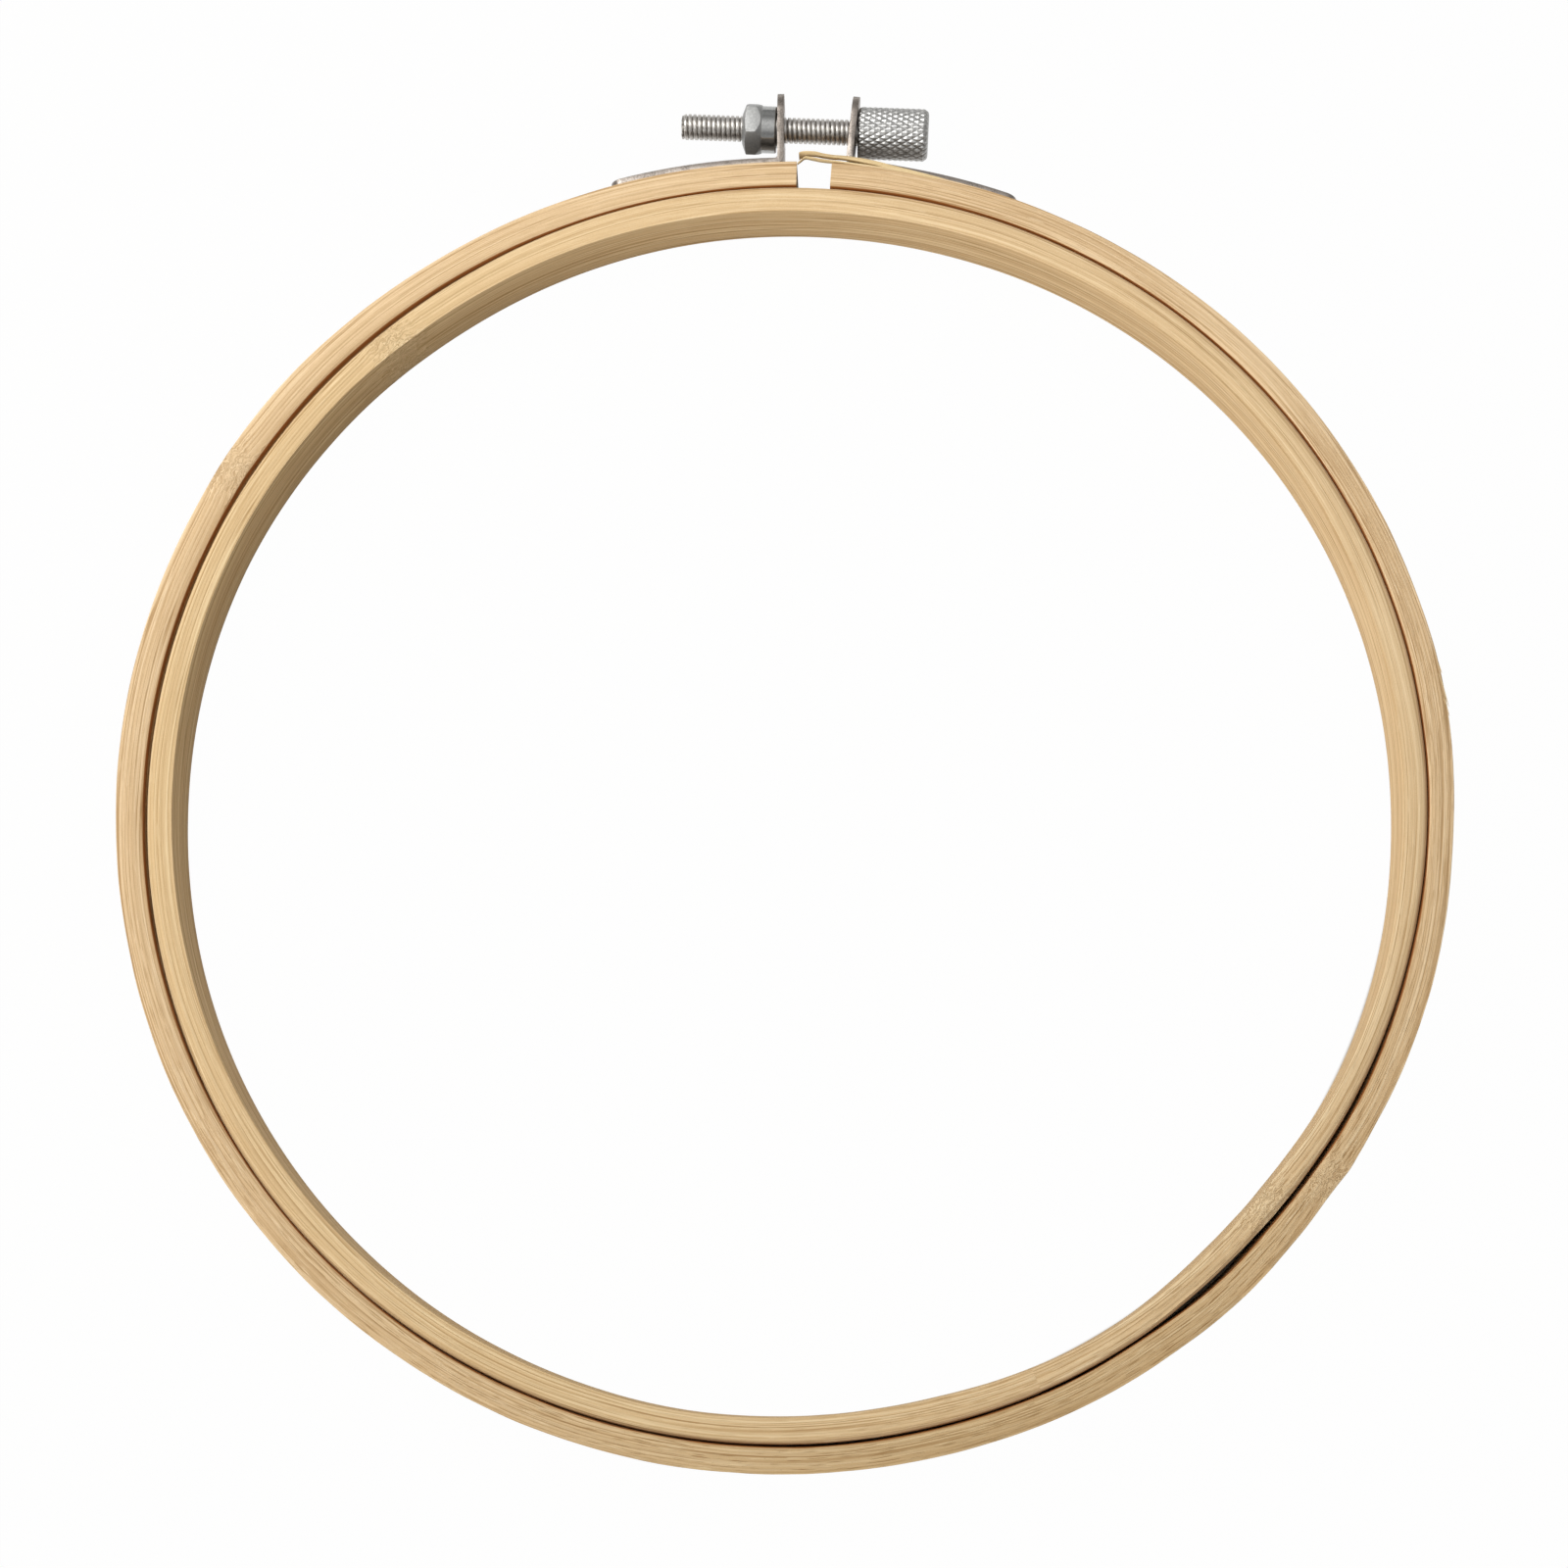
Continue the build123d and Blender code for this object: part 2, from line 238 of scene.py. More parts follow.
def bamboo(name, glossy, pale, tan, brown):
    """Sanded bare bamboo. The grain is solid: it runs along the strip and follows its bends.

    The strip attribute holds the place along, through and up the strip. The marks
    attribute holds how far a place is part of a node, is worn, and is darkened as painted
    shade, and cut is 1 on a sawn end. The attribute for the seam wall is 1 on the wall that
    faces the other ring, which is painted dark along its top edge as the shade of the seam."""
    material, w = new_material(name)
    place = attribute(w, "strip", "Vector")
    knot, worn, deep = parts(w, attribute(w, "marks", "Vector"))
    sawn = attribute(w, "cut")
    along, _, rise = parts(w, place)
    # Painted shade: a band near the top of the seam wall, fading out just under its top edge.
    grime = attribute(w, "grime") * between(w, rise, seam_shade_gone, seam_shade_until)
    grime = grime * between(w, rise, seam_shade_from, seam_shade_full)

    sockets = {"W": along / wander_length, "Scale": 1.0, "Detail": 1.0}
    wander = w.node("ShaderNodeTexNoise", {"noise_dimensions": "1D"}, sockets).out("Color")
    wander = vectors(w, "SUBTRACT", wander, (0.5, 0.5, 0.5))
    wander = vectors(w, "MULTIPLY", wander, (0, wander_reach, wander_reach))
    place = vectors(w, "ADD", place, wander)
    crumple = noise(w, place, crumple_scale).out("Color")
    pull = vectors(w, "SUBTRACT", crumple, (0.5, 0.5, 0.5))
    sockets = {0: pull, "Scale": knot * crumple_reach}
    pull = w.node("ShaderNodeVectorMath", {"operation": "SCALE"}, sockets)
    place = vectors(w, "ADD", place, pull)

    bands = grain(w, place, along=130 * mm, across=1.1 * mm)
    lined = between(w, bands, 0.40, 0.56)
    dark_lines = veins(w, grain(w, place, along=240 * mm, across=0.56 * mm, detail=1.0), 0.085)
    beside = vectors(w, "ADD", place, (0.5, 0.5, 0.5))
    light_lines = veins(w, grain(w, beside, along=200 * mm, across=0.48 * mm, detail=1.0), 0.075)
    threads = grain(w, place, along=40 * mm, across=0.17 * mm, detail=1.0)
    hairs = grain(w, place, along=4 * mm, across=0.16 * mm, detail=1.0)
    specks = noise(w, place, speck_scale, detail=1.0)
    raised = between(w, hairs, 0.40, 0.30) * (worn * 0.6 + 0.5)
    pit = between(w, hairs, 0.61, 0.70) * (worn * 0.7 + 0.2)
    pit = pit + between(w, hairs, 0.52, 0.60) * knot * 0.9

    tone = bands * 0.4 + threads * 0.35 + specks * 0.25
    wood = ramp(w, tone, (0.38, tan), (0.62, pale))
    wood = mixed(w, dark_lines * (lined * 0.45 + 0.4), wood, brown)
    wood = mixed(w, light_lines * (lined * 0.5 + 0.3), wood, glossy)
    wood = mixed(w, pit, wood, brown)
    wood = mixed(w, raised * 0.7, wood, glossy)
    wood = mixed(w, between(w, specks, 0.66, 0.78) * (worn * 0.5 + 0.1), wood, brown)
    wood = mixed(w, knot * 0.30, wood, glossy)
    # Painted shade: the deep stretches are multiplied by a greyish tint where the lighting leaves
    # the hoop darker.
    wood = mixed(w, deep, wood, mixed(w, 1.0, wood, shade_tint, "MULTIPLY"))
    # Painted shade: the seam wall's band is mixed towards a warm brown, for the shade and the warm
    # bounced light inside the narrow seam.
    wood = mixed(w, grime * 0.9, wood, seam_shade_colour)
    across = vectors(w, "MULTIPLY", place, (0, end_grain_scale, end_grain_scale))
    dots = w.node("ShaderNodeTexVoronoi", {}, {"Vector": across, "Scale": 1.0})
    wood = mixed(w, sawn * between(w, dots, 0.48, 0.36, 0.45, 1.0), wood, end_grain)

    height = light_lines * 0.15 - dark_lines * 0.3 + threads * 0.25
    height = height + (raised - pit) * 0.6 + crumple * (knot * 1.6)
    bump = bumped(w, height, strength=0.6, depth=grain_relief)
    rough = between(w, threads, 0.3, 0.7, 0.62, 0.78)
    finish_material(w, base_color=wood, roughness=rough, normal=bump, specular_ior_level=0.14)
    return material


def open_tree(name, inputs):
    """A Geometry Nodes tree with named inputs: its Wire, and a Wire for each input."""
    tree = bpy.data.node_groups.new(name, "GeometryNodeTree")
    for label, kind in inputs.items():
        tree.interface.new_socket(label, in_out="INPUT", socket_type="NodeSocket" + kind)
    tree.interface.new_socket("Mesh", in_out="OUTPUT", socket_type="NodeSocketGeometry")
    w = Wire(tree)
    start = w.node("NodeGroupInput")
    return w, {label: start.out(label) for label in inputs}


def close_tree(w, mesh, material):
    """Ends a Geometry Nodes tree."""
    mesh = w.node("GeometryNodeSetShadeSmooth", {}, {"Geometry": mesh})
    mesh = w.node("GeometryNodeRealizeInstances", {}, {"Geometry": mesh})
    mesh = w.node("GeometryNodeSetMaterial", {}, {"Geometry": mesh, "Material": material})
    w.node("NodeGroupOutput", {}, {"Mesh": mesh})


def grown(name, w, values, sharp=40):
    """Runs a tree with the values given and keeps what it makes as a plain mesh."""
    source = bpy.data.objects.new(name + "_tree", bpy.data.meshes.new(name + "_tree"))
    scene.collection.objects.link(source)
    modifier = source.modifiers.new("tree", "NODES")
    modifier.node_group = w.tree
    for item in w.tree.interface.items_tree:
        if item.in_out == "INPUT":
            modifier[item.identifier] = values[item.name]
    evaluated = source.evaluated_get(bpy.context.evaluated_depsgraph_get())
    mesh = bpy.data.meshes.new_from_object(evaluated)
    mesh.set_sharp_from_angle(angle=radians(sharp))
    piece = bpy.data.objects.new(name, mesh)
    scene.collection.objects.link(piece)
    bpy.data.objects.remove(source)
    return piece


def position(w):
    """The place of each point, as three Wires."""
    return parts(w, w.node("GeometryNodeInputPosition"))


def moved(w, mesh, x, y, z):
    """Moves each point of a mesh to a place worked out from fields."""
    place = w.node("ShaderNodeCombineXYZ", {}, {0: x, 1: y, 2: z})
    return w.node("GeometryNodeSetPosition", {}, {"Geometry": mesh, "Position": place})


def stored(w, mesh, name, kind, value, domain="POINT"):
    """Writes a field onto the points or faces of a mesh, for its material to read."""
    settings = {"data_type": kind, "domain": domain}
    sockets = {"Geometry": mesh, "Name": name, "Value": value}
    return w.node("GeometryNodeStoreNamedAttribute", settings, sockets)


def humps(w, angle, rows, column, unit=1.0):
    """The sum of smooth humps. A row is an angle and a half width in degrees, and heights;
    the column says which height counts."""
    total = 0.0
    for row in rows:
        away = w.maths("WRAP", angle - radians(row[0]), pi, -pi) / radians(row[1])
        total = total + w.maths("EXPONENT", 0 - away * away) * (row[column] * unit)
    return total


# How far a node reaches and pulls the fibres aside, how rough sanded and torn wood are,
# over how many degrees torn skin lets go, and how near two points are the same one.
knot_half_length = 3.6 * mm
knot_pull_length = 3.4 * mm
sanded_relief = 0.05 * mm
rough_relief = 0.14 * mm
torn_fade = 5
weld = 0.001 * mm


def strip_tree(name, swells, knots, worn, deep, eased=(), torn=None):
    """A straight strip with rounded edges that is bent into a ring.

    A swell is an angle, its half width in degrees, and how far the outer and the inner
    face stand out there. A knot is an angle and how far its fibres are pulled aside. Worn
    and deep are stretches of torn fibres and of painted shade, with their amount. Angles
    run from the split towards the knob. Where it is eased, the inner top edge slopes down
    by an amount. A torn end is the angle that the top of the outer face has peeled from
    and the height and depth of what is gone."""
    inputs = {
        "Inner Radius": "Float",
        "Wall": "Float",
        "Height": "Float",
        "Inside Edge": "Float",
        "Outside Edge": "Float",
        "Start": "Float",
        "Sweep": "Float",
        "Segments": "Int",
        "Cut Ends": "Bool",
        "Shaded Seam Wall": "Bool",
        "Material": "Material",
    }
    w, given = open_tree(name, inputs)
    path = w.node("GeometryNodeCurvePrimitiveLine", {}, {"End": (1, 0, 0)})
    path = w.node("GeometryNodeResampleCurve", {}, {"Curve": path, "Count": given["Segments"] + 1})
    sides = {"Width": given["Wall"], "Height": given["Height"]}
    section = w.node("GeometryNodeCurvePrimitiveQuadrilateral", {}, sides)
    is_outside = w.maths("GREATER_THAN", position(w)[0], 0.0)
    edge = given["Inside Edge"] + (given["Outside Edge"] - given["Inside Edge"]) * is_outside
    corners = {"Curve": section, "Count": 3, "Radius": edge}
    section = w.node("GeometryNodeFilletCurve", {"mode": "POLY"}, corners)
    section = w.node("GeometryNodeSubdivideCurve", {}, {"Curve": section, "Cuts": 2})
    sweep = {"Curve": path, "Profile Curve": section, "Fill Caps": given["Cut Ends"]}
    strip = w.node("GeometryNodeCurveToMesh", {}, sweep)

    share, depth, rise = position(w)
    angle = given["Start"] + share * given["Sweep"]
    middle = given["Inner Radius"] + given["Wall"] * 0.5
    outside = depth / given["Wall"] + 0.5
    along = angle * middle

    pull, knot = 0.0, 0.0
    for at, reach in knots:
        away = w.maths("ABSOLUTE", w.maths("WRAP", angle - radians(at), pi, -pi)) * middle
        pull = pull + w.maths("EXPONENT", away / -knot_pull_length) * (reach * mm)
        knot = knot + w.maths("EXPONENT", 0 - away * away / knot_half_length**2)
    wear = humps(w, angle, worn, 2)
    place = w.node("ShaderNodeCombineXYZ", {}, {0: along, 1: depth + pull, 2: rise})
    strip = stored(w, strip, "strip", "FLOAT_VECTOR", place)
    # The third amount is the painted shade of the deep stretches.
    amounts = {0: knot, 1: wear, 2: humps(w, angle, deep, 2)}
    marks = w.node("ShaderNodeCombineXYZ", {}, amounts)
    strip = stored(w, strip, "marks", "FLOAT_VECTOR", marks)
    # The wall that faces the other ring across the seam is marked for the painted shade.
    seam_wall_shaded = w.maths("LESS_THAN", outside, 0.02) * given["Shaded Seam Wall"]
    strip = stored(w, strip, "grime", "FLOAT", seam_wall_shaded)
    facing = parts(w, w.node("GeometryNodeInputNormal"))[0]
    sawn = w.maths("GREATER_THAN", w.maths("ABSOLUTE", facing), 0.9)
    strip = stored(w, strip, "cut", "FLOAT", sawn, "FACE")

    swell_out = humps(w, angle, swells, 2, mm)
    swell_in = humps(w, angle, swells, 3, mm)
    if torn:
        root, height, depth_gone = torn
        top = given["Height"] / 2
        peeled = between(w, angle, radians(root - torn_fade), radians(root), 1.0, 0.0)
        peeled = peeled * between(w, rise, top - height * mm, top - height * mm / 2)
        swell_out = swell_out - peeled * (depth_gone * mm)
    place = w.node("ShaderNodeCombineXYZ", {}, {0: along, 1: depth, 2: rise})
    lumps = grain(w, place, along=9 * mm, across=1.6 * mm) - 0.5
    ridges = grain(w, place, along=14 * mm, across=0.35 * mm, detail=1.0) - 0.5
    relief = lumps * sanded_relief + ridges * sanded_relief
    relief = relief + (lumps + ridges) * (knot + wear) * rough_relief
    radius = middle + depth + outside * swell_out + (1 - outside) * swell_in + relief
    level = rise + relief * (rise / given["Height"]) * 2
    near_inside = w.maths("MAXIMUM", 1 - outside * 3, 0.0)
    near_top = w.maths("MAXIMUM", rise / given["Height"] * 2, 0.0)
    level = level - near_inside * near_top * humps(w, angle, eased, 2, mm)
    east, north = radius * w.maths("SINE", angle), radius * w.maths("COSINE", angle)
    bent = moved(w, strip, east, north, level)
    bent = w.node("GeometryNodeMergeByDistance", {}, {"Geometry": bent, "Distance": weld})
    close_tree(w, bent, given["Material"])
    return w


inner_ring_low, inner_ring_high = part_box("inner_ring")
strip_height = inner_ring_high.z - inner_ring_low.z
bore_radius = frame["record"]["mounts"][0]["dims"]["r_mm"] * mm
inner_ring_radius = inner_ring_high.x
lap_joint_angle = 154.1
inner_ring_swells = [
    (275, 34, -0.58, -0.10),
    (320, 20, -0.28, -0.48),
    (267, 20, 0.00, -0.45),
    (312, 7, 0.00, 0.10),
    (0, 25, 0.00, -0.35),
    (60, 42, 0.36, 0.50),
    (108, 14, -0.10, 0.70),
    (117, 8, 0.00, 0.25),
    (132, 13, -0.45, 0.00),
    (148, 12, 0.25, 0.85),
    (178, 14, 0.00, 0.15),
    (187, 8, 0.00, 0.15),
    (205, 18, 0.06, 0.25),
    (228, 16, 0.12, 0.00),
    (340, 12, 0.08, 0.00),
]
inner_ring_knots = [(316.5, -0.9), (128.6, 0.8)]
inner_ring_worn = [(130, 18, 0.7), (160, 20, 0.4)]
# Stretches darkened as painted shade: the inner ring's left side and lower left.
inner_ring_shade = [(285, 60, 0.6), (195, 35, 0.5)]
inner_colours = [
    colour(245, 220, 178),
    colour(231, 202, 158),
    colour(215, 182, 136),
    colour(176, 139, 92),
]
bamboo_inner = bamboo("bamboo_inner", *inner_colours)
seam_closed = 0.19 * mm
inner_ring_values = {
    "Inner Radius": bore_radius,
    "Wall": inner_ring_radius - bore_radius + seam_closed / 2,
    "Height": strip_height,
    "Inside Edge": 1.2 * mm,
    "Outside Edge": 0.06 * mm,
    "Start": radians(lap_joint_angle),
    "Sweep": 2 * pi,
    "Segments": 1440,
    "Cut Ends": False,
    "Shaded Seam Wall": False,
    "Material": bamboo_inner,
}
inner_marks = (inner_ring_swells, inner_ring_knots, inner_ring_worn, inner_ring_shade)
inner_tree = strip_tree("inner_hoop", *inner_marks)
inner_hoop = grown("inner_hoop", inner_tree, inner_ring_values)
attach(inner_hoop, "inner_hoop")
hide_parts("inner_ring")


# The outer ring: a longer strip of the same bamboo, cut short so that its ends leave a
# split. It is made in two halves that meet at the bottom: the left one stays with the nut,
# and the right one stays where it is made.
outer_ring_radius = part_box("outer_ring")[1].x
ring_clearance = 0.25 * mm
seam_radius = inner_ring_radius + ring_clearance
split_half_angle = 1.58
torn_root, torn_height, torn_depth = 9.2, 2.8, 0.12
outer_ring_swells = [
    (5, 5, 0.15, 0.00),
    (47, 14, 0.15, 0.00),
    (60, 42, 0.00, 0.30),
    (79, 6, 0.18, 0.00),
    (92, 7, -0.22, 0.00),
    (122, 1, 0.10, 0.00),
    (125, 2, -0.14, 0.00),
    (117, 9, 0.00, 0.30),
    (137, 6, 0.35, 0.42),
    (152, 10, 0.35, 0.42),
    (172, 12, 0.00, 0.25),
    (202, 20, 0.00, 0.20),
    (257, 15, -0.20, 0.00),
    (275, 34, 0.00, -0.12),
    (297, 3, 0.05, 0.00),
    (305, 10, 0.30, 0.05),
    (340, 20, -0.20, -0.10),
]
outer_ring_knots = [(297.6, -1.1), (123.6, 0.9)]
outer_ring_worn = [
    (188, 42, 1.0),
    (126, 24, 1.1),
    (75, 22, 0.5),
    (20, 25, 0.25),
    (240, 25, 0.35),
]
# Stretches darkened as painted shade, most of all low on the hoop.
outer_ring_shade = [(165, 45, 1.0), (110, 30, 0.1)]
outer_ring_eased = [(285, 45, 0.55), (215, 20, 0.15)]
outer_colours = [
    colour(241, 214, 174),
    colour(227, 197, 155),
    colour(210, 177, 133),
    colour(172, 135, 90),
]
bamboo_outer = bamboo("bamboo_outer", *outer_colours)
outer_ring_values = {
    **inner_ring_values,
    "Inner Radius": seam_radius - seam_closed / 2,
    "Wall": outer_ring_radius - seam_radius + seam_closed / 2,
    "Inside Edge": 0.05 * mm,
    "Outside Edge": 0.5 * mm,
    "Sweep": pi - radians(split_half_angle),
    "Segments": 720,
    "Cut Ends": True,
    # Only the outer ring's inner wall gets the painted seam shade.
    "Shaded Seam Wall": True,
    "Material": bamboo_outer,
}
left_values = {**outer_ring_values, "Start": pi}
outer_marks = (
    outer_ring_swells,
    outer_ring_knots,
    outer_ring_worn,
    outer_ring_shade,
    outer_ring_eased,
)
outer_left = grown("outer_hoop_left", strip_tree("outer_left", *outer_marks), left_values)
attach(outer_left, "clamp_frame")
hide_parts("outer_ring")

right_values = {**outer_ring_values, "Start": radians(split_half_angle)}
right_tree = strip_tree("outer_right", *outer_marks, torn=(torn_root, torn_height, torn_depth))
outer_right = grown("outer_hoop_right", right_tree, right_values)
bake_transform(outer_right)
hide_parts("outer_ring")


# The skin that has torn off the top of the right end: a thick outer layer that arches over
# the split, and under it a thin sliver that hangs down to the corner of the left end. A
# few short splinters stand off the ring's outer edge on the same side.
def part_way(a, b, c, d, t):
    """A number that goes smoothly from b to c as t goes from 0 to 1, past a and d."""
    curve = 2 * b + (c - a) * t + (2 * a - 5 * b + 4 * c - d) * t**2
    return 0.5 * (curve + (3 * b - a - 3 * c + d) * t**3)


def smooth_through(points, steps):
    """Points on a smooth line through the ones given, each a tuple of numbers."""
    ends = [points[0], *points, points[-1]]
    line = []
    for four in zip(ends, ends[1:], ends[2:], ends[3:]):
        for step in range(steps):
            line.append([part_way(*numbers, step / steps) for numbers in zip(*four)])
    return line + [list(points[-1])]


torn_rounding = 0.12


def torn_layer(name, stations, steps=8):
    """A layer of wood that follows the ring and lifts off it.

    Each station is an angle in degrees, how far the top of the layer stands above the
    ring's outside, its thickness, and how far down it reaches from the ring's top face."""
    work = bmesh.new()
    strip = work.verts.layers.float_vector.new("strip")
    rows = []
    for angle, lift, thick, reach in smooth_through(stations, steps):
        turn = radians(angle)
        outward = Vector((sin(turn), cos(turn), 0))
        top, bottom = outer_ring_radius + lift * mm, outer_ring_radius + (lift - thick) * mm
        high, low = strip_height / 2, strip_height / 2 - reach * mm
        r = min(torn_rounding, thick / 3, reach / 3) * mm
        cut = r * 0.3
        section = [
            (bottom + r, high),
            (top - r, high),
            (top - cut, high - cut),
            (top, high - r),
            (top, low + r),
            (top - r, low),
            (bottom + r, low),
            (bottom, low + r),
            (bottom, high - r),
            (bottom + cut, high - cut),
        ]
        row = []
        for radius, level in section:
            vert = work.verts.new(outward * radius + Vector((0, 0, level)))
            vert[strip] = Vector((turn * outer_ring_radius, radius - outer_ring_radius, level))
            row.append(vert)
        rows.append(row)
    for row, following in zip(rows, rows[1:]):
        for i, vert in enumerate(row):
            j = (i + 1) % len(row)
            work.faces.new((vert, following[i], following[j], row[j]))
    work.faces.new(rows[0])
    work.faces.new(reversed(rows[-1]))
    bmesh.ops.recalc_face_normals(work, faces=work.faces)
    for face in work.faces:
        face.smooth = True
    mesh = bpy.data.meshes.new(name)
    work.to_mesh(mesh)
    work.free()
    mesh.set_sharp_from_angle(angle=radians(35))
    piece = bpy.data.objects.new(name, mesh)
    scene.collection.objects.link(piece)
    return piece


torn_colours = [
    colour(244, 226, 186),
    colour(232, 208, 162),
    colour(216, 188, 138),
    colour(176, 146, 100),
]
bamboo_torn = bamboo("bamboo_torn", *torn_colours)
torn_skin_stations = [
    (-1.42, 1.38, 0.20, 2.3),
    (-1.20, 1.58, 0.38, 1.9),
    (-0.68, 1.68, 0.55, 1.0),
    (0.11, 1.64, 0.58, 0.9),
    (0.75, 1.40, 0.50, 0.9),
    (1.73, 1.24, 0.48, 0.9),
    (2.60, 1.24, 0.52, 0.8),
    (4.62, 1.06, 0.66, 0.7),
    (6.05, 0.82, 0.72, 0.7),
    (6.94, 0.62, 0.72, 0.7),
    (9.00, 0.34, 0.72, 0.7),
    (11.5, 0.10, 0.70, 0.7),
    (13.5, -0.10, 0.60, 0.7),
]
torn_sliver_stations = [
    (-1.53, -0.20, 0.26, 0.5),
    (-1.20, 0.30, 0.28, 0.6),
    (-0.80, 0.84, 0.32, 0.7),
    (0.00, 0.70, 0.34, 0.8),
    (0.69, 0.53, 0.34, 0.8),
    (2.04, 0.36, 0.28, 0.8),
    (3.81, 0.22, 0.28, 0.8),
    (5.80, 0.10, 0.30, 0.8),
    (7.80, -0.02, 0.30, 0.8),
]
for name, stations in (("torn_skin", torn_skin_stations), ("torn_sliver", torn_sliver_stations)):
    layer = torn_layer(name, stations)
    layer.data.materials.append(bamboo_torn)
    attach(layer, "free_end")

# Each splinter is the angle of its root, its sweep in degrees, how far its tip stands off,
# its thickness and how far down it reaches. Its root is sunk in the ring.
splinter_root = -0.15
splinters = [
    (75.4, 2.2, 0.30, 0.16, 0.30),
    (77.6, 3.0, 0.34, 0.14, 0.25),
    (79.8, 1.6, 0.22, 0.12, 0.20),
]
for number, (root, sweep, lift, thick, reach) in enumerate(splinters):
    shape = [
        (root, splinter_root, thick, reach),
        (root + sweep * 0.4, lift * 0.35, thick, reach * 0.9),
        (root + sweep * 0.8, lift * 0.8, thick * 0.7, reach * 0.6),
        (root + sweep, lift, thick * 0.3, reach * 0.3),
    ]
    splinter = torn_layer(f"splinter_{number + 1}", shape)
    splinter.data.materials.append(bamboo_torn)
    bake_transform(splinter)


# The two brackets: strips of plated sheet steel, sheared, punched and bent, with a foot
# riveted along the ring and an ear for the screw. Their edges are rubbed round.
dull_plating = colour(118, 111, 104)
grey_plating = colour(148, 139, 131)
pale_plating = colour(163, 154, 145)
flat_within = 0.5


def sheet_steel(name):
    """Satin sheet with a mottled plating."""
    material, w = new_material(name)
    place = w.node("ShaderNodeTexCoord").out("Object")
    mottle = noise(w, place, 4200.0, detail=3.0)
    clouds = noise(w, place, 700.0, detail=1.0)
    tone = mottle * 0.6 + clouds * 0.4
    base = ramp(w, tone, (0.34, dull_plating), (0.48, grey_plating), (0.62, pale_plating))
    bump = bumped(w, tone, strength=0.35, depth=0.05 * mm)
    rough = between(w, tone, 0.35, 0.65, 0.46, 0.34)
    finish_material(w, base_color=base, metallic=1.0, roughness=rough, normal=bump)
    return material


def softened(name, node, edge, material, sharp=30):
    """A copy of a CAD part as one joined mesh with its edges rounded."""
    work = bmesh.new()
    work.from_mesh(nodes[node].data)
    bmesh.ops.remove_doubles(work, verts=work.verts, dist=weld)
    flat = radians(flat_within)
    bmesh.ops.dissolve_limit(work, angle_limit=flat, verts=work.verts, edges=work.edges)
    mesh = bpy.data.meshes.new(name)
    work.to_mesh(mesh)
    work.free()
    blank = bpy.data.objects.new(name + "_blank", mesh)
    scene.collection.objects.link(blank)
    bevel = blank.modifiers.new("edges", "BEVEL")
    bevel.width = edge
    bevel.segments = 3
    bevel.limit_method = "ANGLE"
    bevel.angle_limit = radians(sharp)
    bevel.harden_normals = False
    bevel.use_clamp_overlap = True
    evaluated = blank.evaluated_get(bpy.context.evaluated_depsgraph_get())
    piece = bpy.data.objects.new(name, bpy.data.meshes.new_from_object(evaluated))
    scene.collection.objects.link(piece)
    bpy.data.objects.remove(blank)
    piece.data.materials.clear()
    piece.data.materials.append(material)
    piece.data.shade_smooth()
    piece.data.set_sharp_from_angle(angle=radians(25))
    return piece


sheet = sheet_steel("sheet_steel")
for side, body in (("left", "clamp_frame"), ("right", "free_end")):
    bracket = softened(side + "_ear_and_foot", side + "_bracket", 0.12 * mm, sheet)
    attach(bracket, body)
    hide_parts(side + "_bracket")


# The rivets: two through each foot, with a domed head outside and a flat tail that is
# sunk into the strip behind the inner ring.
def rivet_steel(name):
    """Bright rivet wire, with the marks of the set on its head."""
    material, w = new_material(name)
    place = w.node("ShaderNodeTexCoord").out("Object")
    marks = noise(w, place, 1800.0)
    base = ramp(w, marks, (0.35, colour(150, 147, 142)), (0.65, colour(196, 193, 188)))
    bump = bumped(w, marks, strength=0.3, depth=0.04 * mm)
    rough = between(w, marks, 0.3, 0.7, 0.28, 0.42)
    finish_material(w, base_color=base, metallic=1.0, roughness=rough, normal=bump)
    return material


rivet_metal = rivet_steel("rivet_steel")
for side, body in (("left", "clamp_frame"), ("right", "free_end")):
    rivets = softened(side + "_rivet_pair", side + "_rivets", 0.08 * mm, rivet_metal)
    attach(rivets, body)
    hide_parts(side + "_rivets")


# The nut: a plated hexagon turned down to a round collar, whose spigot is clinched in the
# left ear. A flat of the hexagon faces up.
hexagon_length = 2.9 * mm
collar_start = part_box("collar_nut")[0].x + hexagon_length
polish_fade = 0.1 * mm


def plated_nut(name):
    """Bright plating, cloudy on the hexagon and polished round the collar."""
    material, w = new_material(name)
    place = w.node("ShaderNodeTexCoord").out("Object")
    clouds = noise(w, place, 3200.0, detail=3.0)
    x = parts(w, place)[0]
    polish = between(w, x, collar_start - polish_fade, collar_start + polish_fade)
    base = ramp(w, clouds, (0.3, colour(160, 160, 158)), (0.7, colour(176, 176, 174)))
    bump = bumped(w, clouds, strength=0.15, depth=0.02 * mm)
    rough = between(w, clouds, 0.3, 0.7, 0.60, 0.50) * (1 - polish * 0.65)
    finish_material(w, base_color=base, metallic=1.0, roughness=rough, normal=bump)
    return material


nut = softened("hexagon_nut", "collar_nut", 0.06 * mm, plated_nut("plated_nut"), sharp=12)
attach(nut, "clamp_frame")
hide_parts("collar_nut")


